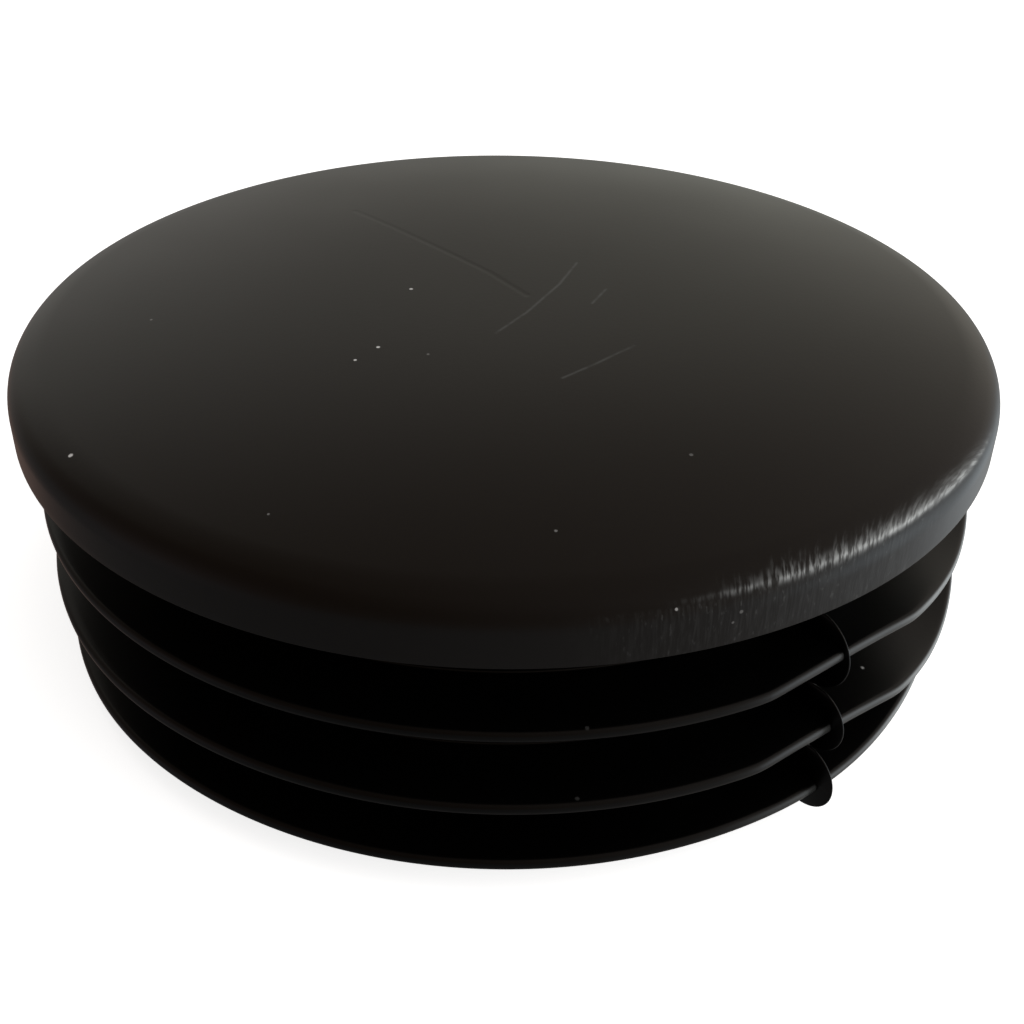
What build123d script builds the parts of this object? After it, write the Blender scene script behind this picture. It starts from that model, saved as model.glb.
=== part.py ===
"""Ribbed insert cap for the end of a 76 mm round steel tube, moulded in one piece in polyethylene.

A low domed head covers the tube's end and seats on it with its flat shoulder. The hollow stem
below goes into the bore and carries three thin flexible fins, which bend and grip the wall.
The fins are shaped by two side slides, so they have flats where the slides meet, and a thin
scalloped web of flash stands on that plane, from the stem out to the fins' rims.

Frame: millimetres, +Z up along the cap's axis, origin at the centre of the stem's open lower rim.
"""

import os

from build123d import *

# Head, heights above the seat
head_radius = 38.0            # the tube's outer radius
band_height = 2.2             # straight edge of the head
crown_radius = 2.1            # rounding from the band on to the top
crown_turn = 65.0             # degrees
dome_edge_radius = 7.5        # wider rounding from the crown into the dome
dome_edge_slope = 10.5        # degrees below level where that rounding meets the dome
dome_height = 6.8             # crest of the dome

# Hollow stem
insert_depth = 22.0           # from the seat down to the open lower rim
stem_radius = 31.5
stem_wall = 2.2
stem_root_fillet = 0.5        # stem to shoulder
lead_in = 0.8                 # chamfer round the lower rim
core_draft = 0.2              # the hollow's radius is this much less at its ceiling
ceiling_wall = 3.4            # thickness of the dome over the hollow
ceiling_fillet = 1.5

# Fins, depths below the seat at mid thickness
fin_depths = (6.45, 12.7, 18.3)
fin_radii = (37.2, 37.2, 36.4)      # the first one to enter the bore is the smallest
fin_rim_thickness = 0.9
fin_root_thickness = 1.4
fin_rim_rounding = 0.35

# Parting plane of the two side slides
parting_azimuth = -51.6       # degrees from +X
flat_distance = 36.4          # from the axis to the flats on the fins
web_thickness = 0.2
lobe_depths = (7.2, 12.8, 18.3)       # below the seat, to the centres of the web's round lobes
lobe_radii = (3.0, 2.6, 2.7)          # one lobe round each fin's rim
lobe_inset = 0.02             # the lobes stay this far inside the widest fin

# Gate mark in the middle of the hollow's ceiling
gate_radius = 1.2
gate_height = 0.4

seat_z = insert_depth
hollow_radius = stem_radius - stem_wall
ceiling_radius = hollow_radius - core_draft
ceiling_z = seat_z + dome_height - ceiling_wall
wall_middle_radius = stem_radius - stem_wall / 2
fin_levels = [seat_z - depth for depth in fin_depths]
lobe_reach = max(fin_radii) - lobe_inset
web_width = lobe_reach - max(lobe_radii) - wall_middle_radius
outward = Vector(1, 0, 0).rotate(Axis.Z, parting_azimuth)
parting_plane = Plane(origin=(0, 0, 0), x_dir=outward, z_dir=outward.cross(Vector(0, 0, 1)))


with BuildPart() as fins:
    # Discs that thin towards their rounded rims
    with BuildSketch(Plane.XZ) as fin_section:
        for level, radius in zip(fin_levels, fin_radii):
            Polygon(
                (wall_middle_radius, level - fin_root_thickness / 2),
                (radius, level - fin_rim_thickness / 2),
                (radius, level + fin_rim_thickness / 2),
                (wall_middle_radius, level + fin_root_thickness / 2),
                align=None,
            )
        rim_corners = fin_section.vertices().filter_by(lambda corner: corner.X > stem_radius)
        fillet(rim_corners, fin_rim_rounding)
    revolve(axis=Axis.Z)
    # Flats where the slides meet, cut across the rounded rims
    with BuildSketch():
        Rectangle(2 * flat_distance, 2 * head_radius, rotation=parting_azimuth)
    extrude(amount=seat_z, mode=Mode.INTERSECT)

with BuildPart() as cap:
    # Head and hollow stem, one turned section
    with BuildSketch(Plane.XZ):
        with BuildLine():
            band = Line((head_radius, seat_z), (head_radius, seat_z + band_height))
            crown = JernArc(band @ 1, band % 1, crown_radius, crown_turn)
            dome_edge = JernArc(crown @ 1, crown % 1, dome_edge_radius, 90 - crown_turn - dome_edge_slope)
            dome = Spline(dome_edge @ 1, (0, seat_z + dome_height), tangents=(dome_edge % 1, (-1, 0)))
            Polyline(
                dome @ 1,
                (0, ceiling_z),
                (ceiling_radius, ceiling_z),
                (hollow_radius, 0),
                (stem_radius - lead_in, 0),
                (stem_radius, lead_in),
                (stem_radius, seat_z),
                band @ 0,
            )
        make_face()
    revolve(axis=Axis.Z)
    ceiling_edge = cap.edges().filter_by_position(Axis.Z, ceiling_z, ceiling_z)
    fillet(ceiling_edge, ceiling_fillet)
    seat_edges = cap.edges().filter_by(GeomType.CIRCLE).filter_by_position(Axis.Z, seat_z, seat_z)
    fillet(seat_edges.sort_by(SortBy.RADIUS)[0], stem_root_fillet)
    add(fins.part)
    # Scalloped web on both sides of the parting plane
    with BuildSketch(parting_plane):
        with Locations((wall_middle_radius, seat_z)):
            Rectangle(web_width, lobe_depths[-1], align=(Align.MIN, Align.MAX))
        for depth, radius in zip(lobe_depths, lobe_radii):
            with Locations((lobe_reach - radius, seat_z - depth)):
                Circle(radius)
        mirror(about=Plane.YZ)
    extrude(amount=web_thickness / 2, both=True)
    # Gate mark, standing down from the ceiling
    with BuildSketch(Plane.XY.offset(ceiling_z - gate_height)):
        Circle(gate_radius)
    extrude(amount=2 * gate_height)

cap.part.label = "tube_end_cap"
os.makedirs("parts", exist_ok=True)
export_step(cap.part, "parts/tube_end_cap.step")
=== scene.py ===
"""Round ribbed end cap for 76 mm steel tube: its black polyethylene moulding, on a plain pale floor."""

import bpy
import numpy as np
from bpy.props import FloatProperty, FloatVectorProperty, IntProperty, PointerProperty
from mathutils import Matrix, Vector


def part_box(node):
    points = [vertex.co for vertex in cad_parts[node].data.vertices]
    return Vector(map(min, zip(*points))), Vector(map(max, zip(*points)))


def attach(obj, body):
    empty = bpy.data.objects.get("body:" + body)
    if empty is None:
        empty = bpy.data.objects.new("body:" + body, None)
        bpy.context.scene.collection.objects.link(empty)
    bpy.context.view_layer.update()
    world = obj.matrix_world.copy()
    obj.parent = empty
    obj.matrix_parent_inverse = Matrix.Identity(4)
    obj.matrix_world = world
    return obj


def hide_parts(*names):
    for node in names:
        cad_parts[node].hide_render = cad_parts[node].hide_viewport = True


bl_info = {
    "name": "Round tube end cap",
    "version": (1, 0, 0),
    "blender": (4, 5, 0),
    "location": "3D View > Sidebar > End cap",
    "description": "Ribbed insert cap for round steel tube, with its floor and lamps",
    "category": "Add Mesh",
}

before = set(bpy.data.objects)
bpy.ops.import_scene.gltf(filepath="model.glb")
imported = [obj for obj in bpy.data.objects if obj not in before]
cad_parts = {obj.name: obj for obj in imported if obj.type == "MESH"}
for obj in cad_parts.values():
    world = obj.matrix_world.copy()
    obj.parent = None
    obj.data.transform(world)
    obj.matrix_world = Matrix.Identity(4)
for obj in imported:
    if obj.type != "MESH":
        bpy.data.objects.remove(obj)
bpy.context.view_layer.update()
CAP_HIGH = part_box("tube_end_cap")[1]
MM = 0.001
SEAT = 22.0  # height of the head's shoulder over the stem's open rim, in millimetres


# ---------------------------------------------------------------- sizes and colours


def length(name, description, millimetres):
    """A length property, shown in the scene's unit."""
    default = millimetres * MM
    return FloatProperty(
        name=name, description=description, default=default, min=0.0, precision=5, unit="LENGTH"
    )


def angle(name, description, degrees):
    """An angle property, shown in degrees."""
    default = float(np.radians(degrees))
    return FloatProperty(
        name=name, description=description, default=default, subtype="ANGLE", unit="ROTATION"
    )


def fraction(name, description, value):
    """A property from 0 to 1."""
    return FloatProperty(name=name, description=description, default=value, min=0.0, max=1.0)


def colour(name, description, value):
    """A linear colour property."""
    return FloatVectorProperty(
        name=name, description=description, default=value, size=3, min=0.0, max=1.0, subtype="COLOR"
    )


class CapHead(bpy.types.PropertyGroup):
    """Sizes of the domed head."""

    radius: length("Radius", "Outer radius of the head", CAP_HIGH.x / MM)
    band: length("Band", "Height of the straight edge of the head", 2.2)
    crown: length("Crown", "Rounding from the band on to the top", 2.1)
    crown_turn: angle("Crown turn", "How far round the crown goes", 65.0)
    dome_edge: length("Dome edge", "Wider rounding from the crown into the dome", 7.5)
    dome: length("Dome", "Height of the dome's crest over the seat", 6.8)
    dome_slope: angle("Dome slope", "Fall of the dome where it meets its edge rounding", 10.5)
    shoulder_edge: length("Shoulder edge", "Rounding under the band", 0.12)


class CapStem(bpy.types.PropertyGroup):
    """Sizes of the hollow stem."""

    depth: length("Depth", "From the seat down to the open rim", SEAT)
    radius: length("Radius", "Outer radius of the stem", 31.5)
    wall: length("Wall", "Thickness of the stem's wall", 2.2)
    lead_in: length("Lead-in", "Chamfer round the open rim", 0.8)
    draft: length("Draft", "How much narrower the hollow is at its ceiling", 0.2)
    ceiling: length("Ceiling", "Thickness of the dome over the hollow", 3.4)
    ceiling_fillet: length("Ceiling fillet", "Rounding from the hollow's wall into its ceiling", 1.5)
    root_fillet: length("Root fillet", "Rounding from the stem into the head's shoulder", 0.5)
    fillet: length("Fillet", "Rounding from the stem into a fin and into the lead-in", 0.2)
    edge: length("Edge", "Rounding of the sharp edges inside and round the open rim", 0.1)
    gate_radius: length("Gate radius", "Radius of the gate mark on the ceiling", 1.2)
    gate_height: length("Gate height", "How far the gate mark stands down", 0.4)


class CapFins(bpy.types.PropertyGroup):
    """Sizes of the gripping fins, and of the flats and webs on the parting plane."""

    radius: length("Radius", "Outer radius of the two upper fins", 37.2)
    last_radius: length("Last radius", "Outer radius of the lowest fin", 36.4)
    rim: length("Rim", "Thickness of a fin at its rim", 0.9)
    root: length("Root", "Thickness of a fin at the stem", 1.4)
    rounding: length("Rounding", "Rounding of a fin's rim", 0.42)
    flat: length("Flat distance", "From the axis to the flats on the fins", 36.5)
    flat_edge: length("Flat edge", "Softness of the flats' ends", 0.07)
    waviness: length("Waviness", "How far the rims wander up and down", 0.03)
    lean: length("Lean", "How far the two upper fins stand off the axis, along X", 0.25)
    parting: angle("Parting plane", "Azimuth of the mould's parting plane", -51.6)
    web: length("Web", "Thickness of the web on the parting plane", 0.14)
    columns: IntProperty(name="Columns", description="Steps round the axis", default=360, min=24)


class CapFinish(bpy.types.PropertyGroup):
    """Colours and roughness of the plastic, with painted shade below the head and painted light on the
    band, and the floor's colour.
    """

    plastic: colour("Plastic", "Black polyethylene", (0.0045, 0.0032, 0.0024))
    # Painted light: a lighter colour on the head's band stands in for light it reflects from below
    band_painted_light: colour("Band plastic", "The head's edge, handled most", (0.0125, 0.0112, 0.0105))
    # Painted shade: a far darker colour below the head stands in for the shade between the fins and
    # under the head
    stem_painted_shade: colour("Stem plastic", "Clean moulded skin below the head", (0.0008, 0.0008, 0.0008))
    # Scuffed plastic; on the fins' rim faces towards the right the same colour is a painted highlight
    scuff_and_highlight: colour("Scuff", "Rubbed polyethylene", (0.62, 0.65, 0.65))
    dust: colour("Dust", "Specks of dust", (0.75, 0.75, 0.74))
    roughness: fraction("Roughness", "Roughness of the head", 0.32)
    rim_roughness: fraction("Rim roughness", "Roughness of upright faces below the head", 0.28)
    level_roughness: fraction("Level roughness", "Roughness of level faces below the head", 0.3)
    floor: colour("Floor", "Pale floor", (0.9, 0.9, 0.9))


FIN_DEPTHS = (6.45 * MM, 12.7 * MM, 18.3 * MM)
# Where the thin fins are bent, fin by fin: azimuth and spread in degrees, lift of the rim
FIN_BENDS = (
    ((-22.0, 12.0, -1.15 * MM), (-95.0, 33.0, 0.15 * MM)),
    ((-26.0, 12.5, -1.55 * MM), (-90.0, 26.0, 0.22 * MM), (-145.0, 12.0, -0.2 * MM)),
    ((-47.0, 10.0, -0.4 * MM), (-80.0, 35.0, -0.15 * MM), (-150.0, 16.0, -0.6 * MM)),
)
# The web's lobes, one round each fin's rim: depth below the seat, radius, reach from the axis
LOBES = (
    (7.17 * MM, 3.0 * MM, 37.15 * MM),
    (12.83 * MM, 2.57 * MM, 37.65 * MM),
    (18.3 * MM, 2.7 * MM, 37.65 * MM),
)
WEB_OVERLAP = 0.1 * MM  # how far the webs go up into the head
# Points along the dome, the dome's edge and the crown, and the longest straight step of the section
DOME_POINTS, DOME_EDGE_POINTS, CROWN_POINTS = 44, 9, 17
SECTION_STEP = 1.6 * MM
LOBE_POINTS, WEB_END_POINTS = 37, 7  # points along a lobe's half circle, and round a slice's end


def fin_table(cap_fins, cap_stem):
    """Each fin's height above the open rim and its radius, as two arrays."""
    levels = cap_stem.depth - np.array(FIN_DEPTHS)
    radii = np.array([cap_fins.radius, cap_fins.radius, cap_fins.last_radius])
    return levels, radii


# ---------------------------------------------------------------- shapes


def arc(centre, radius, start, turn, count):
    """centre + radius (cos t, sin t), with t from start to start + turn."""
    t = np.linspace(start, start + turn, count)
    return np.column_stack([centre[0] + radius * np.cos(t), centre[1] + radius * np.sin(t)])


def run(a, b, step):
    """a + (b - a)(1 - cos(pi t)) / 2: a straight run, its points closest together at its ends."""
    a, b = np.asarray(a, float), np.asarray(b, float)
    count = 3 + int(np.linalg.norm(b - a) / step)
    t = (1 - np.cos(np.pi * np.linspace(0, 1, count))) / 2
    return a + (b - a) * t[:, None]


def rounded_path(corners, step):
    """A section through corners (r, z, rounding).

    Straight runs are joined by arcs tangent to both: for a corner's half angle h, the arc of
    radius p starts p / tan h before it and its centre is p / sin h from it on the bisector.
    An arc has 3 points, and one more for each half radian that it turns.
    """
    points = [np.array([corners[0][:2]], float)]
    for before, corner, after in zip(corners[:-2], corners[1:-1], corners[2:]):
        here = np.array(corner[:2], float)
        back = np.array(before[:2], float) - here
        on = np.array(after[:2], float) - here
        back /= np.linalg.norm(back)
        on /= np.linalg.norm(on)
        half = np.arccos(np.clip(back @ on, -1, 1)) / 2
        reach = corner[2] / np.tan(half)
        bisector = (back + on) / np.linalg.norm(back + on)
        centre = here + bisector * corner[2] / np.sin(half)
        first, last = here + back * reach - centre, here + on * reach - centre
        start = np.arctan2(first[1], first[0])
        turn = np.arctan2(last[1], last[0]) - start
        turn = (turn + np.pi) % (2 * np.pi) - np.pi
        points.append(run(points[-1][-1], centre + first, step)[1:])
        points.append(arc(centre, corner[2], start, turn, 3 + int(abs(turn) / 0.5))[1:])
    points.append(run(points[-1][-1], corners[-1][:2], step)[1:])
    return np.vstack(points)


def head_section(head, seat):
    """The head's section, from the dome's crest out to the top of the band.

    The upright band, the crown's arc and the dome edge's wider arc are tangent to each other.
    Inside the arcs' end R the slope is tan(dome slope) (r / R)^k, so the height is the crest less
    tan(dome slope) R (r / R)^(k + 1) / (k + 1), with k set by the crest's height.
    """
    crown_centre = np.array([head.radius - head.crown, seat + head.band])
    across = np.array([np.cos(head.crown_turn), np.sin(head.crown_turn)])
    edge_centre = crown_centre + (head.crown - head.dome_edge) * across
    edge_end = np.pi / 2 - head.dome_slope
    edge = edge_centre + head.dome_edge * np.array([np.cos(edge_end), np.sin(edge_end)])
    rise = seat + head.dome - edge[1]
    k = np.tan(head.dome_slope) * edge[0] / rise - 1
    t = np.linspace(0, 1, DOME_POINTS)
    dome = np.column_stack([t * edge[0], seat + head.dome - rise * t ** (k + 1)])
    edge_turn = head.crown_turn - edge_end
    dome_edge = arc(edge_centre, head.dome_edge, edge_end, edge_turn, DOME_EDGE_POINTS)
    crown = arc(crown_centre, head.crown, head.crown_turn, -head.crown_turn, CROWN_POINTS)
    return np.vstack([dome, dome_edge[1:], crown[1:]])


def cap_section(head, stem, cap_fins):
    """The whole closed section, from the dome's crest round the fins to the ceiling's centre."""
    seat = stem.depth
    hollow = stem.radius - stem.wall
    ceiling = seat + head.dome - stem.ceiling
    corners = [
        (head.radius, seat + head.band, 0),
        (head.radius, seat, head.shoulder_edge),
        (stem.radius, seat, stem.root_fillet),
    ]
    for level, radius in zip(*fin_table(cap_fins, stem)):
        corners += [
            (stem.radius, level + cap_fins.root / 2, stem.fillet),
            (radius, level + cap_fins.rim / 2, cap_fins.rounding),
            (radius, level - cap_fins.rim / 2, cap_fins.rounding),
            (stem.radius, level - cap_fins.root / 2, stem.fillet),
        ]
    corners += [
        (stem.radius, stem.lead_in, stem.fillet),
        (stem.radius - stem.lead_in, 0, stem.edge),
        (hollow, 0, stem.edge),
        (hollow - stem.draft, ceiling, stem.ceiling_fillet),
        (stem.gate_radius, ceiling, stem.edge),
        (stem.gate_radius, ceiling - stem.gate_height, stem.edge),
        (0, ceiling - stem.gate_height, 0),
    ]
    return np.vstack([head_section(head, seat), rounded_path(corners, SECTION_STEP)[1:]])


def column_angles(cap_fins):
    """Azimuths of the columns: even steps, and one on each corner of the fins' flats."""
    even = np.arange(cap_fins.columns) * 2 * np.pi / cap_fins.columns
    half = np.arccos(cap_fins.flat / cap_fins.radius)
    corners = [cap_fins.parting + side + half * way for side in (0, np.pi) for way in (-1, 1)]
    return np.unique(np.round(np.concatenate([even, np.mod(corners, 2 * np.pi)]), 9))


def rim_lift(cap_fins, angles):
    """How far each fin's rim stands up at each azimuth, one row a fin.

    A bend of lift h, at azimuth b with spread w, adds h exp((cos(a - b) - 1) / w^2) at azimuth a.
    A slow wave, sin 3a + 0.6 sin 7a times the waviness, runs round every rim, and is turned
    differently for each fin.
    """
    rows = []
    for fin, bends in enumerate(FIN_BENDS):
        lift = np.sin(3 * angles + 1.7 * fin) + 0.6 * np.sin(7 * angles + 2.9 * fin + 0.4)
        lift = cap_fins.waviness * lift
        for azimuth, spread, height in bends:
            away = np.cos(angles - np.radians(azimuth)) - 1
            lift = lift + height * np.exp(away / np.radians(spread) ** 2)
        rows.append(lift)
    return np.array(rows)


def cap_surface(head, stem, cap_fins):
    """The section turned round the axis: (r cos a, r sin a, z), for section point i and azimuth a.

    A point past the stem at share s of its fin's width moves in by s times what the flat cuts
    from the rim there, which is e ln(1 + exp(c / e)) for c = R - flat / |cos(a - parting)| and
    the flats' edge softness e. It moves up by s (2 - s) times the rim's lift, and the two upper
    fins move s times the lean along X.
    """
    section = cap_section(head, stem, cap_fins)
    levels, radii = fin_table(cap_fins, stem)
    angles = column_angles(cap_fins)
    fin = np.abs(section[:, 1, None] - levels).argmin(1)
    rim = radii[fin]
    on_fin = (section[:, 0] > stem.radius) & (np.abs(section[:, 1] - levels[fin]) < cap_fins.root)
    share = np.where(on_fin, (section[:, 0] - stem.radius) / (rim - stem.radius), 0.0)
    across = np.maximum(np.abs(np.cos(angles - cap_fins.parting)), 0.2)  # well away from zero
    over = (rim[:, None] - cap_fins.flat / across) / cap_fins.flat_edge
    cut = cap_fins.flat_edge * np.logaddexp(0.0, over)
    r = section[:, 0, None] - share[:, None] * cut
    lean = np.where(fin < 2, cap_fins.lean, 0.0) * share
    z = section[:, 1, None] + (share * (2.0 - share))[:, None] * rim_lift(cap_fins, angles)[fin]
    return np.stack([r * np.cos(angles) + lean[:, None], r * np.sin(angles), z], axis=-1)


def web_surface(stem, cap_fins, side):
    """The scalloped web: level slices of a plate, from the wall out to rho(z).

    rho is the furthest of the plain edge and the lobes' circles,
    reach - p + sqrt(p^2 - (z - level)^2) for a lobe of radius p. Below the lowest lobe's middle
    the inner end follows its circle inwards. Each slice is a stadium: straight sides t apart
    along the plane, for the web's thickness t, and round ends of radius t / 2.
    """
    depths, radii, reaches = np.array(LOBES).T
    levels = stem.depth - depths
    inner = stem.radius - stem.wall / 2
    edge = (reaches - radii).min()
    turn = np.linspace(0, np.pi, LOBE_POINTS)
    z = np.concatenate([level + radius * np.cos(turn) for level, radius in zip(levels, radii)])
    above_lobes = np.linspace(stem.depth + WEB_OVERLAP, z.max(), 4)[:-1]
    z = np.concatenate([above_lobes, np.unique(z)[::-1]])
    circle = np.sqrt(np.maximum(0.0, radii**2 - (z[:, None] - levels) ** 2))
    on_lobe = np.abs(z[:, None] - levels) <= radii
    far = np.where(on_lobe, reaches - radii + circle, edge).max(1)
    middle_of_last = reaches[-1] - radii[-1]
    under = z < levels[-1]
    far = np.where(under, middle_of_last + circle[:, -1], far)
    near = np.where(under, np.maximum(inner, middle_of_last - circle[:, -1]), inner)
    half = cap_fins.web / 2
    width = np.maximum((far - near) / 2, half * 0.2)  # the lowest slice is short, but not a point
    middle = (far + near) / 2
    half_turn = np.linspace(-np.pi / 2, np.pi / 2, WEB_END_POINTS)
    t = np.concatenate([half_turn, half_turn + np.pi])
    straight = np.repeat([1.0, -1.0], WEB_END_POINTS)
    ends = np.minimum(half, width)
    along = middle[:, None] + straight * (width - ends)[:, None] + ends[:, None] * np.cos(t)
    off = np.broadcast_to(half * np.sin(t), along.shape)
    outward = side * np.array([np.cos(cap_fins.parting), np.sin(cap_fins.parting)])
    normal = np.array([-outward[1], outward[0]])
    return np.stack(
        [
            along * outward[0] + off * normal[0],
            along * outward[1] + off * normal[1],
            np.broadcast_to(z[:, None], along.shape),
        ],
        axis=-1,
    )


def ring_faces(rows, columns):
    """Quads of a grid of rows x columns that closes on itself column-wise."""
    i, j = np.meshgrid(np.arange(rows - 1), np.arange(columns), indexing="ij")
    k = (j + 1) % columns
    above, below = i * columns, (i + 1) * columns
    quads = np.stack([above + j, below + j, below + k, above + k], axis=-1)
    return quads.reshape(-1, 4)


def end_fan(row, columns, apex, turn):
    """Triangles from one row of a ring grid to an apex vertex, wound by turn, 1 or -1."""
    j = np.arange(columns)
    edge = np.column_stack([j, (j + 1) % columns])[:, ::turn]
    return np.column_stack([np.full(columns, apex), row * columns + edge])


def closed_shell(grid, first_apex, last_apex):
    """Vertices and faces of a ring grid, closed at both ends by fans to a point."""
    rows, columns = grid.shape[:2]
    vertices = np.vstack([grid.reshape(-1, 3), first_apex, last_apex])
    count = rows * columns
    fans = [end_fan(0, columns, count, 1), end_fan(rows - 1, columns, count + 1, -1)]
    return vertices, ring_faces(rows, columns), np.vstack(fans)


def make_piece(name, shells, material):
    """A smooth mesh object at the origin from shells of (vertices, quads, triangles)."""
    vertices, faces, offset = [], [], 0
    for points, quads, fans in shells:
        vertices.append(points)
        faces += (quads + offset).tolist() + (fans + offset).tolist()
        offset += len(points)
    mesh = bpy.data.meshes.new(name)
    mesh.from_pydata(np.vstack(vertices).tolist(), [], faces)
    mesh.shade_smooth()
    mesh.materials.append(material)
    piece = bpy.data.objects.new(name, mesh)
    bpy.context.scene.collection.objects.link(piece)
    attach(piece, "root")
    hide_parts("tube_end_cap")
    return piece


# ---------------------------------------------------------------- finish


class Shader:
    """Adds nodes to a node tree and links them."""

    def __init__(self, tree):
        self.tree = tree
        tree.nodes.clear()

    def node(self, kind, inputs=None, **settings):
        """A node of a kind, its settings, and its inputs, each a value or another node's output."""
        made = self.tree.nodes.new(kind)
        for key, value in settings.items():
            setattr(made, key, value)
        for key, value in (inputs or {}).items():
            if isinstance(value, bpy.types.NodeSocket):
                self.tree.links.new(value, made.inputs[key])
            else:
                made.inputs[key].default_value = value
        return made

    def math(self, operation, *values, clamp=False):
        """The result of a maths node."""
        inputs = dict(enumerate(values))
        return self.node("ShaderNodeMath", inputs, operation=operation, use_clamp=clamp).outputs[0]

    def total(self, *values):
        """The values added up."""
        result = values[0]
        for value in values[1:]:
            result = self.math("ADD", result, value)
        return result

    def product(self, *values):
        """The values multiplied together."""
        result = values[0]
        for value in values[1:]:
            result = self.math("MULTIPLY", result, value)
        return result

    def scale(self, vector, factor):
        """A vector times a number."""
        made = self.node("ShaderNodeVectorMath", {0: vector, "Scale": factor}, operation="SCALE")
        return made.outputs[0]

    def vector(self, operation, *values, out="Vector"):
        """The result of a vector maths node."""
        made = self.node("ShaderNodeVectorMath", dict(enumerate(values)), operation=operation)
        return made.outputs[out]

    def noise(self, vector, scale, detail=2.0):
        """Noise from 0 to 1."""
        made = self.node("ShaderNodeTexNoise", {"Vector": vector, "Scale": scale, "Detail": detail})
        return made.outputs[0]

    def remap(self, value, low, high, to_low=0.0, to_high=1.0, smooth=True):
        """value from low..high to to_low..to_high, held at the ends."""
        made = self.node(
            "ShaderNodeMapRange",
            {"Value": value, "From Min": low, "From Max": high, "To Min": to_low, "To Max": to_high},
            interpolation_type="SMOOTHSTEP" if smooth else "LINEAR",
        )
        return made.outputs[0]

    def mix(self, factor, a, b):
        """Colour a to colour b."""
        made = self.node("ShaderNodeMix", data_type="RGBA")
        for key, value in ((0, factor), (6, a), (7, b)):
            if isinstance(value, bpy.types.NodeSocket):
                self.tree.links.new(value, made.inputs[key])
            else:
                made.inputs[key].default_value = value
        return made.outputs[2]


# Where the head is scratched, in millimetres in plan
LIGHT_SCRATCHES = (
    ((-0.7, -8.1), (1.6, -4.6), (4.2, 0.5), (5.7, 4.6)),
    ((4.0, -14.6), (6.3, -12.6), (9.3, -9.7)),
    ((6.6, -2.9), (7.8, -0.3)),
)
DARK_SCRATCH = ((-13.2, 16.0), (-6.9, 8.8), (-1.4, 2.6), (1.6, -1.6))
LIGHT_WIDTH, DARK_WIDTH = 0.2, 0.45  # from a scratch's middle to its edge
LIGHT_STRENGTH = 0.07
# Noise that breaks the light scratches up: steps a millimetre, octaves, and what it leaves of them
SCRATCH_BREAKS = (1.1, 2.0)
SCRATCH_LEFT = (0.3, 0.6, 0.3, 1.0)
DOME_START = (26.0, 26.5)  # heights between which the scratches begin
# Specks of dust: x, y, z, radius in millimetres, whiteness
SPECKS = (
    (-7.35, -0.71, 28.79, 0.19, 0.9),
    (-9.14, -10.34, 28.68, 0.18, 1.0),
    (-10.62, -12.21, 28.60, 0.16, 0.9),
    (-28.56, -21.91, 26.42, 0.22, 1.0),
    (-26.77, -4.60, 27.82, 0.14, 0.3),
    (-14.39, -29.51, 27.05, 0.12, 0.2),
    (-5.50, -11.41, 28.71, 0.14, 0.2),
    (12.07, -23.44, 27.91, 0.18, 0.16),
    (3.15, -31.30, 27.27, 0.14, 0.25),
    (10.07, -36.31, 25.28, 0.125, 0.58),
    (14.08, -35.29, 24.35, 0.16, 0.25),
    (13.62, -35.48, 23.69, 0.12, 0.25),
    (26.20, -22.40, 9.50, 0.28, 1.0),
    (5.26, -36.50, 16.10, 0.2, 0.05),
    (4.89, -36.37, 9.95, 0.2, 0.05),
)
SPECK_CORE = 0.45  # share of a speck's radius that has its full whiteness

# The scuffed places and the painted highlight on the fins' rim faces, in millimetres, with heights over
# the stem's open rim
# Height less radius along the middle of the crown, where the scuffs are strongest
RIDGE = -12.05
# How the scuffs and the painted highlight on the fins' rim faces change round the cap: two azimuths in
# degrees, and the values before and after
ALONG = {
    "ridge_height": (-44.0, -25.0, 0.17, -0.18),  # of the scuffs' middle over RIDGE
    "lower_edge": (-60.0, -44.0, 1.0, 2.4),  # how sharply the scuffs end under their middle
    "contrast": (-66.0, -42.0, 1.0, 0.45),  # of the single strokes
    "fuzz_start": (-72.0, -50.0, 0.0, 0.34),
    "fuzz_end": (-42.0, -24.0, 1.0, 0.0),
    "line_start": (-76.0, -60.0, 0.0, 0.19),
    "line_growth": (-56.0, -46.0, 0.0, 0.14),
    "line_end": (-33.0, -23.0, 1.0, 0.0),
    "rims_start": (-68.0, -46.0, 0.0, 0.14),
    "rims_growth": (-45.0, -33.0, 0.0, 0.4),
    "rims_end": (-25.0, -10.0, 1.0, 0.0),
    "band_start": (-86.0, -72.0, 0.0, 1.0),
    "band_end": (-50.0, -38.0, 1.0, 0.15),
}
# Noise drawn out into strokes: steps a millimetre across and along the rub, octaves, the range
# of the noise that is used, and the values at that range's ends
STROKES = {
    "ridge": (5.5, 0.9, 3.0, 0.38, 0.62, -1.0, 1.0),
    "reach": (3.6, 0.5, 2.0, 0.34, 0.66, -1.0, 1.0),
    "breaks": (1.6, 1.2, 2.0, 0.35, 0.65, 0.65, 1.35),
    "flecks": (4.0, 1.6, 2.0, 0.6, 0.78, 0.0, 1.0),
}
BAND_STROKES = (5.5, 0.6, 3.0)
# How fast the whitening falls off with the square of the height over and under the scuffs' middle
FUZZ_OVER, FUZZ_OVER_VARIES, FUZZ_UNDER = 2.2, 1.4, 5.0
LINE_OVER, LINE_UNDER = 20.0, 12.0
LINE_CONTRAST = 0.8  # of the strokes in the line, times their contrast in the fuzz
BAND_WHITENING = (0.4, 0.7, 0.0, 0.025)  # by the band's strokes
FLECK_WHITENING = 0.08
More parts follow.
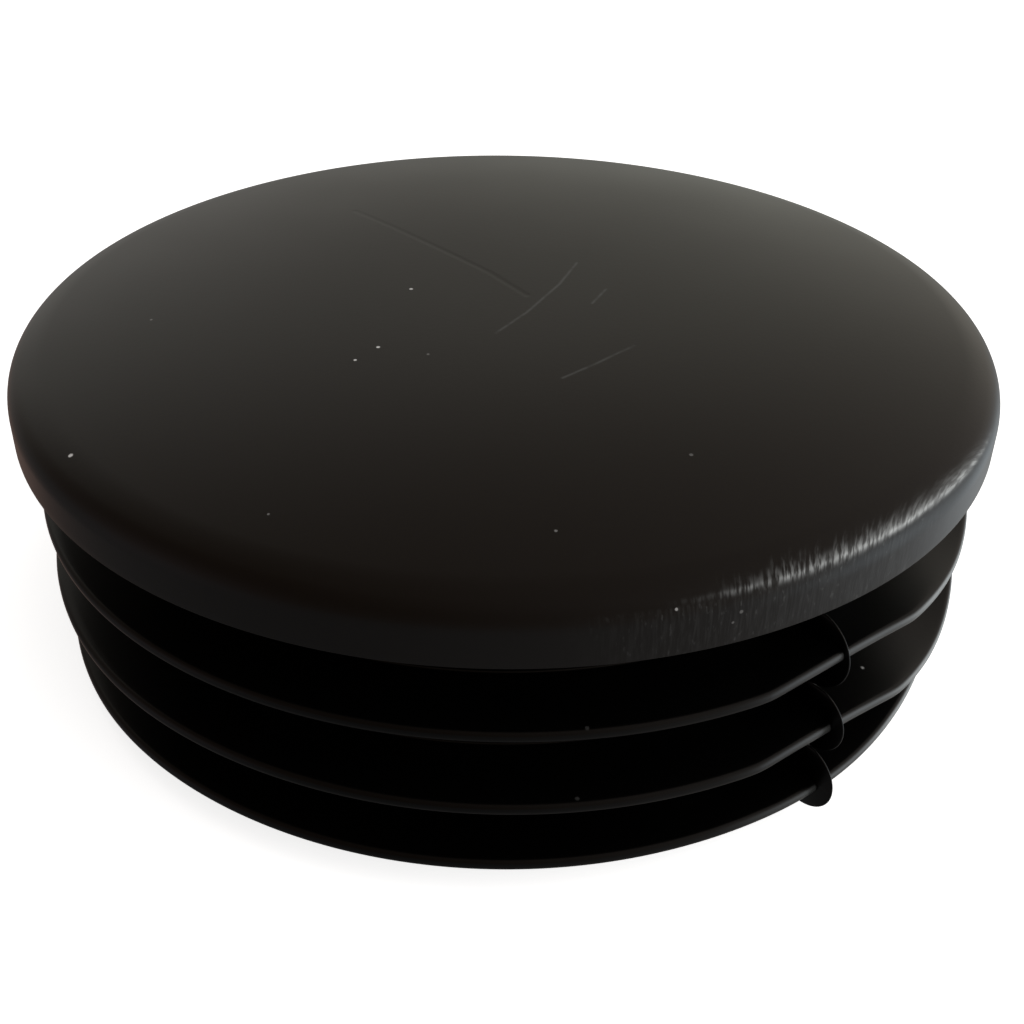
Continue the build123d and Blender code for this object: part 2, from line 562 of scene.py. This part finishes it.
# Where each kind of scuffing and the painted rim highlight lie: from, to, and the values there where
# they aren't 0 and 1
RIDGE_HEIGHTS = (23.5, 24.0)
BAND_HEIGHTS = (22.0, 22.1)
BAND_UNDER_RIDGE = (-0.35, 0.0, 1.0, 0.0)
RIM_HIGHLIGHT_RADII = (35.6, 36.2)
RIM_HIGHLIGHT_HEIGHTS = (21.2, 21.6, 1.0, 0.0)
RIM_HIGHLIGHT_FROM_WEB = (0.1, 0.25)
# Which faces count as upright, by the upward or downward part of their normal
UPRIGHT = (0.45, 0.85, 1.0, 0.0)


def scratch(s, place, points, width):
    """1 on a chain of straight scratches in plan, fading over its width.

    For each run from p to q: the distance from p + t (q - p), with t the share of the run
    that the place stands level with, held from 0 to 1.
    """
    mask = 0.0
    for start, end in zip(points[:-1], points[1:]):
        start, end = np.array([*start, 0.0]), np.array([*end, 0.0])
        along = end - start
        away = s.vector("SUBTRACT", place, tuple(start))
        t = s.vector("DOT_PRODUCT", away, tuple(along / (along @ along)), out="Value")
        t = s.math("MAXIMUM", s.math("MINIMUM", t, 1.0), 0.0)
        off = s.vector("DISTANCE", away, s.scale(tuple(along), t), out="Value")
        mask = s.math("MAXIMUM", mask, s.remap(off, 0.0, width, 1.0, 0.0))
    return mask


def upright_faces(s):
    """1 on faces that stand upright, 0 on level ones."""
    normal = s.node("ShaderNodeNewGeometry").outputs["Normal"]
    facing = s.node("ShaderNodeSeparateXYZ", {0: normal}).outputs["Z"]
    return s.remap(s.math("ABSOLUTE", facing), *UPRIGHT)


def light_scratches(s, place, plan):
    """The whitening on the light scratches, which are broken by noise."""
    mask = 0.0
    for points in LIGHT_SCRATCHES:
        mask = s.math("MAXIMUM", mask, scratch(s, plan, points, LIGHT_WIDTH))
    broken = s.remap(s.noise(place, *SCRATCH_BREAKS), *SCRATCH_LEFT)
    return s.product(mask, broken, LIGHT_STRENGTH)


def specks(s, place):
    """Up to 1 on each speck of dust."""
    mask = 0.0
    for x, y, z, radius, whiteness in SPECKS:
        off = s.vector("DISTANCE", place, (x, y, z), out="Value")
        mask = s.math("MAXIMUM", mask, s.remap(off, radius * SPECK_CORE, radius, whiteness, 0.0))
    return mask


class RubbingAndRimHighlight:
    """The scuffed places of the cap, the ridge and the band's fine lines, and a painted highlight on
    the fins' rim faces.

    The strokes run where u = x + 0.15 b - 0.0325 b^2 stays the same, for b = y + 36 in
    millimetres, so they turn slowly along the head's edge.
    """

    def __init__(self, s, place, parting):
        x, y, z = s.node("ShaderNodeSeparateXYZ", {0: place}).outputs
        self.s, self.place, self.y, self.z = s, place, y, z
        self.azimuth = s.math("DEGREES", s.math("ARCTAN2", y, x))
        self.radius = s.math("SQRT", s.total(s.product(x, x), s.product(y, y)))
        self.over = s.math("SUBTRACT", s.math("SUBTRACT", z, self.radius), RIDGE)
        b = s.math("ADD", y, 36.0)
        self.u = s.total(x, s.product(b, s.math("SUBTRACT", 0.15, s.product(b, 0.0325))))
        self.parting_normal = (-np.sin(parting), np.cos(parting), 0.0)

    def along(self, name):
        """A value from ALONG at this azimuth."""
        return self.s.remap(self.azimuth, *ALONG[name])

    def drawn_noise(self, across, up, detail):
        """Noise drawn out along the rub's direction."""
        s = self.s
        drawn = {0: s.product(self.u, across), 1: s.product(self.y, up), 2: s.product(self.z, up)}
        return s.noise(s.node("ShaderNodeCombineXYZ", drawn).outputs[0], 1.0, detail)

    def strokes(self, name):
        """A value from STROKES at this place."""
        return self.s.remap(self.drawn_noise(*STROKES[name][:3]), *STROKES[name][3:])

    def falling(self, over, over_rate, under, under_rate):
        """exp(-(over over_rate + under under_rate))."""
        s = self.s
        fall = s.total(s.product(over, over_rate), s.product(under, under_rate))
        return s.math("EXPONENT", s.product(fall, -1.0))

    def ridge(self):
        """The whitening on the crown: a narrow broken line in a wider fuzz of strokes.

        Both fall off as exp(-k h^2), for the height h over or under their middle, and the
        reach of the fuzz varies from stroke to stroke.
        """
        s = self.s
        height = s.math("SUBTRACT", self.over, self.along("ridge_height"))
        over = s.math("POWER", s.math("MAXIMUM", height, 0.0), 2.0)
        under = s.math("POWER", s.product(s.math("MINIMUM", height, 0.0), -1.0), 2.0)
        under = s.product(under, self.along("lower_edge"))
        contrast = self.along("contrast")
        strokes = s.product(self.strokes("ridge"), contrast)
        varies = s.product(self.strokes("reach"), contrast, FUZZ_OVER_VARIES)
        fuzz = self.falling(over, s.total(FUZZ_OVER, varies), under, FUZZ_UNDER)
        fuzz = s.product(fuzz, self.along("fuzz_start"), self.along("fuzz_end"), s.total(1.0, strokes))
        line = self.falling(over, LINE_OVER, under, LINE_UNDER)
        line = s.product(line, s.total(self.along("line_start"), self.along("line_growth")))
        line = s.product(line, self.along("line_end"), self.strokes("breaks"))
        line = s.product(line, s.total(1.0, s.product(strokes, LINE_CONTRAST)))
        return s.product(s.total(fuzz, line), s.remap(self.z, *RIDGE_HEIGHTS))

    def rim_highlight(self, upright):
        """A painted highlight on the fins' rim faces towards the right, which leaves out the web."""
        s = self.s
        aside = s.vector("DOT_PRODUCT", self.place, self.parting_normal, out="Value")
        aside = s.remap(s.math("ABSOLUTE", aside), *RIM_HIGHLIGHT_FROM_WEB)
        strength = s.total(self.along("rims_start"), self.along("rims_growth"))
        rim_highlight = s.product(upright, s.remap(self.radius, *RIM_HIGHLIGHT_RADII), s.remap(self.z, *RIM_HIGHLIGHT_HEIGHTS))
        return s.product(rim_highlight, aside, strength, self.along("rims_end"))

    def band(self):
        """The whitening and the relief of the fine lines on the band, under the ridge."""
        s = self.s
        where = s.product(s.remap(self.over, *BAND_UNDER_RIDGE), s.remap(self.z, *BAND_HEIGHTS))
        where = s.product(where, self.along("band_start"), self.along("band_end"))
        strokes = self.drawn_noise(*BAND_STROKES)
        flecks = s.product(self.strokes("flecks"), FLECK_WHITENING)
        whitening = s.total(s.remap(strokes, *BAND_WHITENING), flecks)
        return s.product(where, whitening), s.product(where, strokes)


# Noise over the whole plastic: steps a millimetre, octaves
GRAIN = (2.6, 3.0)
PATCHES = (0.06, 2.0)
PATCHES_ROUGHNESS = 0.08  # how much the roughness varies from patch to patch
# The painted highlight on the fins' rim faces is made rougher and given relief along with the scuffs
RUBBED_ROUGHNESS = 0.2  # how much rougher a rubbed or dusty place is
# Heights over the seat, in millimetres, where the surface changes from stem to band to dome: the stem's
# colour carries painted shade and the band's carries painted light
SKIN_AND_SHADE_CHANGE = (-0.4, 0.0)
BAND_LIGHT_FADES = (2.2, 3.6)
# Relief in millimetres
GRAIN_RELIEF, RUBBED_RELIEF, GROOVE_RELIEF = 0.004, 0.012, -0.012


def polyethylene(finish, parting):
    """Black polyethylene with a fine moulded grain, rubbed along one stretch of the head's edge.

    Below the head its colour is darkened further with painted shade, and its roughness changes to that
    of its moulded faces; the head's band carries painted light, and the fins' rim faces towards the
    right carry a painted highlight.
    """
    material = bpy.data.materials.new("polyethylene_with_painted_light")
    material.use_nodes = True
    s = Shader(material.node_tree)
    place = s.scale(s.node("ShaderNodeTexCoord").outputs["Object"], 1 / MM)
    height = s.node("ShaderNodeSeparateXYZ", {0: place}).outputs["Z"]
    over_seat = s.math("SUBTRACT", height, SEAT)
    plan = s.vector("MULTIPLY", place, (1.0, 1.0, 0.0))
    on_dome = s.remap(height, *DOME_START)
    upright = upright_faces(s)
    rubbing_and_highlight = RubbingAndRimHighlight(s, place, parting)
    lines, line_relief = rubbing_and_highlight.band()
    # Scuffs, band lines and the painted highlight on the fins' rim faces, in one mask
    rubbed_or_highlit = s.math("MAXIMUM", s.total(rubbing_and_highlight.ridge(), rubbing_and_highlight.rim_highlight(upright)), lines)
    scratched = s.product(light_scratches(s, place, plan), on_dome)
    groove = s.product(scratch(s, plan, DARK_SCRATCH, DARK_WIDTH), on_dome)
    dust = specks(s, place)

    # Painted shade: the plastic below the head takes a far darker colour
    skin_and_shade = s.remap(over_seat, *SKIN_AND_SHADE_CHANGE)
    # Painted light: the head's band takes a lighter colour that blends into the dome's
    band_light_fade = s.remap(over_seat, *BAND_LIGHT_FADES)
    head = s.mix(band_light_fade, (*finish.band_painted_light, 1.0), (*finish.plastic, 1.0))
    base = s.mix(skin_and_shade, (*finish.stem_painted_shade, 1.0), head)
    # Scuffs and scratches whiten the plastic; on the fins' rim faces this whitening is a painted
    # highlight
    base = s.mix(s.math("MAXIMUM", rubbed_or_highlit, scratched), base, (*finish.scuff_and_highlight, 1.0))
    base = s.mix(dust, base, (*finish.dust, 1.0))

    patches = s.product(s.noise(place, *PATCHES), PATCHES_ROUGHNESS)
    on_head = s.total(finish.roughness - PATCHES_ROUGHNESS / 2, patches)
    below = s.remap(upright, 0.0, 1.0, finish.level_roughness, finish.rim_roughness)
    rough = s.remap(skin_and_shade, 0.0, 1.0, below, on_head, smooth=False)
    rough = s.math("ADD", rough, s.product(s.total(rubbed_or_highlit, dust), RUBBED_ROUGHNESS), clamp=True)

    relief = s.total(
        s.product(s.noise(place, *GRAIN), GRAIN_RELIEF),
        s.product(s.total(line_relief, rubbed_or_highlit), RUBBED_RELIEF),
        s.product(groove, GROOVE_RELIEF),
    )
    bump = s.node("ShaderNodeBump", {"Height": relief, "Strength": 1.0, "Distance": MM})
    plastic = s.node(
        "ShaderNodeBsdfPrincipled",
        {"Base Color": base, "Roughness": rough, "IOR": 1.5, "Normal": bump.outputs[0]},
    )
    s.node("ShaderNodeOutputMaterial", {"Surface": plastic.outputs[0]})
    return material


def cap_material(scene):
    """The cap's material, made once."""
    made = bpy.data.materials.get("polyethylene_with_painted_light")
    return made or polyethylene(scene.endcap_finish, scene.endcap_fins.parting)


# ---------------------------------------------------------------- operators


class ENDCAP_OT_moulding(bpy.types.Operator):
    """Head, hollow stem and fins, as one turned surface"""

    bl_idname = "endcap.moulding"
    bl_label = "Head, stem and fins"
    bl_options = {"REGISTER", "UNDO"}

    def execute(self, context):
        scene = context.scene
        grid = cap_surface(scene.endcap_head, scene.endcap_stem, scene.endcap_fins)
        crest, ceiling = grid[0, 0], grid[-1, 0]
        shell = closed_shell(grid[1:-1], crest, ceiling)
        make_piece("cap_moulding", [shell], cap_material(scene))
        return {"FINISHED"}


class ENDCAP_OT_webs(bpy.types.Operator):
    """The two scalloped webs on the parting plane"""

    bl_idname = "endcap.parting_webs"
    bl_label = "Parting webs"
    bl_options = {"REGISTER", "UNDO"}

    def execute(self, context):
        scene = context.scene
        shells = []
        for side in (1, -1):
            grid = web_surface(scene.endcap_stem, scene.endcap_fins, side)
            shells.append(closed_shell(grid, grid[0].mean(0), grid[-1].mean(0)))
        make_piece("parting_webs", shells, cap_material(scene))
        return {"FINISHED"}


CAMERA_LENS, CAMERA_SENSOR = 49.39, 36.0  # millimetres
CAMERA_CLIP = (0.005, 50.0)
CAMERA_PLACE = (0.0, -100.77 * MM, 75.26 * MM)
CAMERA_PITCH, CAMERA_YAW, CAMERA_ROLL = 33.89, 0.41, -0.81  # degrees


def camera_axes(pitch, yaw, roll):
    """The camera's right, up and backward directions for angles in degrees: down, right, clockwise."""
    pitch, yaw, roll = np.radians([pitch, yaw, roll])
    forward = Vector((np.sin(yaw) * np.cos(pitch), np.cos(yaw) * np.cos(pitch), -np.sin(pitch)))
    level = Vector((np.cos(yaw), -np.sin(yaw), 0.0))
    down = forward.cross(level)
    right = level * np.cos(roll) + down * np.sin(roll)
    down = down * np.cos(roll) - level * np.sin(roll)
    return right, -down, -forward


def make_camera():
    """The camera, above the front of the cap."""
    data = bpy.data.cameras.new("camera")
    data.lens = CAMERA_LENS
    data.sensor_width = CAMERA_SENSOR
    data.clip_start, data.clip_end = CAMERA_CLIP
    camera = bpy.data.objects.new("camera", data)
    axes = Matrix(camera_axes(CAMERA_PITCH, CAMERA_YAW, CAMERA_ROLL)).transposed().to_4x4()
    camera.matrix_world = Matrix.Translation(CAMERA_PLACE) @ axes
    bpy.context.scene.collection.objects.link(camera)
    bpy.context.scene.camera = camera


# Soft lights far off: azimuth, elevation and spread in degrees, colour
SOFT_LIGHTS = {
    "right_window": (-1.3, -5.1, 14.7, (0.82, 0.96, 1.06)),
    "right_wall": (8.9, 6.7, 40.5, (0.39, 0.37, 0.35)),
    "right_low": (35.5, -20.5, 9.5, (0.64, 0.77, 0.85)),
    "back_right_wall": (53.2, 8.0, 8.8, (0.29, 0.27, 0.23)),
    "back_wall": (76.6, 6.8, 14.0, (0.40, 0.42, 0.37)),
    "back_left_wall": (117.6, 12.9, 17.4, (0.417, 0.426, 0.405)),
    "left_wall": (-165.5, 2.3, 18.0, (0.102, 0.087, 0.092)),
    "right_floor": (50.0, -37.0, 12.0, (0.26, 0.25, 0.24)),
    "left_floor": (125.0, -27.0, 13.0, (0.19, 0.095, 0.065)),
}
CEILING_LIGHT = (0.049, 0.030, 0.018)
GROUND_LIGHT = (0.062, 0.061, 0.061)
HORIZON_SOFTNESS = 0.05
FLOOR_HALF = 3.0  # metres
FLOOR_GLOW = 0.92  # the floor's own light, which keeps it pale
LAMP_STRENGTH = 1.6
LAMP_SPREAD = 70.0  # degrees across
LAMP_AZIMUTH, LAMP_ELEVATION = -20.0, 55.0


def soft_light(s, way, azimuth, elevation, spread, tint):
    """tint exp((cos g - 1) / spread^2), for the angle g from the light's middle."""
    a, e = np.radians([azimuth, elevation])
    middle = (np.cos(a) * np.cos(e), np.sin(a) * np.cos(e), np.sin(e))
    closeness = s.vector("DOT_PRODUCT", way, middle, out="Value")
    away = s.math("DIVIDE", s.math("SUBTRACT", closeness, 1.0), np.radians(spread) ** 2)
    return s.scale(tint, s.math("EXPONENT", away))


def make_world():
    """A dark room with soft lights low at the right and behind, which looks pale from the camera."""
    world = bpy.data.worlds.new("studio")
    world.use_nodes = True
    s = Shader(world.node_tree)
    way = s.node("ShaderNodeTexCoord").outputs["Generated"]
    height = s.node("ShaderNodeSeparateXYZ", {0: way}).outputs["Z"]
    above = s.remap(height, -HORIZON_SOFTNESS, HORIZON_SOFTNESS)
    light = s.mix(above, (*GROUND_LIGHT, 1.0), (*CEILING_LIGHT, 1.0))
    for numbers in SOFT_LIGHTS.values():
        light = s.vector("ADD", light, soft_light(s, way, *numbers))
    room = s.node("ShaderNodeBackground", {"Color": light, "Strength": 1.0})
    pale = s.node("ShaderNodeBackground", {"Color": (1.0, 1.0, 1.0, 1.0), "Strength": 1.0})
    path = s.node("ShaderNodeLightPath")
    seen = path.outputs["Is Camera Ray"]
    both = s.node("ShaderNodeMixShader", {0: seen, 1: room.outputs[0], 2: pale.outputs[0]})
    s.node("ShaderNodeOutputWorld", {"Surface": both.outputs[0]})
    bpy.context.scene.world = world


def make_lamp():
    """A wide soft lamp overhead, which lights rubbed and dusty places and leaves no reflection."""
    data = bpy.data.lights.new("overhead_lamp", "SUN")
    data.energy = LAMP_STRENGTH
    data.angle = np.radians(LAMP_SPREAD)
    lamp = bpy.data.objects.new("overhead_lamp", data)
    turn = Matrix.Rotation(np.radians(LAMP_AZIMUTH + 90), 4, "Z")
    lamp.matrix_world = turn @ Matrix.Rotation(np.radians(90 - LAMP_ELEVATION), 4, "X")
    lamp.visible_glossy = False
    bpy.context.scene.collection.objects.link(lamp)


def make_floor(finish):
    """A wide level floor under the cap, which takes its shadow and throws no light back on it."""
    corners = [(x * FLOOR_HALF, y * FLOOR_HALF, 0) for x, y in ((-1, -1), (1, -1), (1, 1), (-1, 1))]
    mesh = bpy.data.meshes.new("floor")
    mesh.from_pydata(corners, [], [(0, 1, 2, 3)])
    material = bpy.data.materials.new("pale_floor")
    material.use_nodes = True
    s = Shader(material.node_tree)
    paint = s.node("ShaderNodeBsdfDiffuse", {"Color": (*finish.floor, 1.0)})
    glow = s.node("ShaderNodeEmission", {"Color": (*finish.floor, 1.0), "Strength": FLOOR_GLOW})
    both = s.node("ShaderNodeAddShader", {0: paint.outputs[0], 1: glow.outputs[0]})
    s.node("ShaderNodeOutputMaterial", {"Surface": both.outputs[0]})
    mesh.materials.append(material)
    floor = bpy.data.objects.new("floor", mesh)
    floor.visible_glossy = False
    floor.visible_diffuse = False
    bpy.context.scene.collection.objects.link(floor)


class ENDCAP_OT_stage(bpy.types.Operator):
    """Camera, lamps, surroundings and floor"""

    bl_idname = "endcap.stage"
    bl_label = "Stage"
    bl_options = {"REGISTER", "UNDO"}

    def execute(self, context):
        make_camera()
        make_world()
        make_lamp()
        make_floor(context.scene.endcap_finish)
        context.scene.view_settings.view_transform = "Standard"
        return {"FINISHED"}


class ENDCAP_PT_sidebar(bpy.types.Panel):
    """The cap's pieces and sizes"""

    bl_label = "Tube end cap"
    bl_idname = "ENDCAP_PT_sidebar"
    bl_space_type = "VIEW_3D"
    bl_region_type = "UI"
    bl_category = "End cap"

    def draw(self, context):
        layout = self.layout
        for operator in OPERATORS:
            layout.operator(operator.bl_idname)
        for label, group in GROUPS.items():
            box = layout.box()
            settings = getattr(context.scene, label)
            for name in group.__annotations__:
                box.prop(settings, name)


GROUPS = {
    "endcap_head": CapHead,
    "endcap_stem": CapStem,
    "endcap_fins": CapFins,
    "endcap_finish": CapFinish,
}
OPERATORS = (ENDCAP_OT_moulding, ENDCAP_OT_webs, ENDCAP_OT_stage)


def register():
    for group in GROUPS.values():
        bpy.utils.register_class(group)
    for label, group in GROUPS.items():
        setattr(bpy.types.Scene, label, PointerProperty(type=group))
    for operator in OPERATORS:
        bpy.utils.register_class(operator)
    bpy.utils.register_class(ENDCAP_PT_sidebar)


def unregister():
    bpy.utils.unregister_class(ENDCAP_PT_sidebar)
    for operator in reversed(OPERATORS):
        bpy.utils.unregister_class(operator)
    for label in GROUPS:
        delattr(bpy.types.Scene, label)
    for group in GROUPS.values():
        bpy.utils.unregister_class(group)


def main():
    register()
    bpy.ops.endcap.stage()
    bpy.ops.endcap.moulding()
    bpy.ops.endcap.parting_webs()


if __name__ == "__main__":
    main()
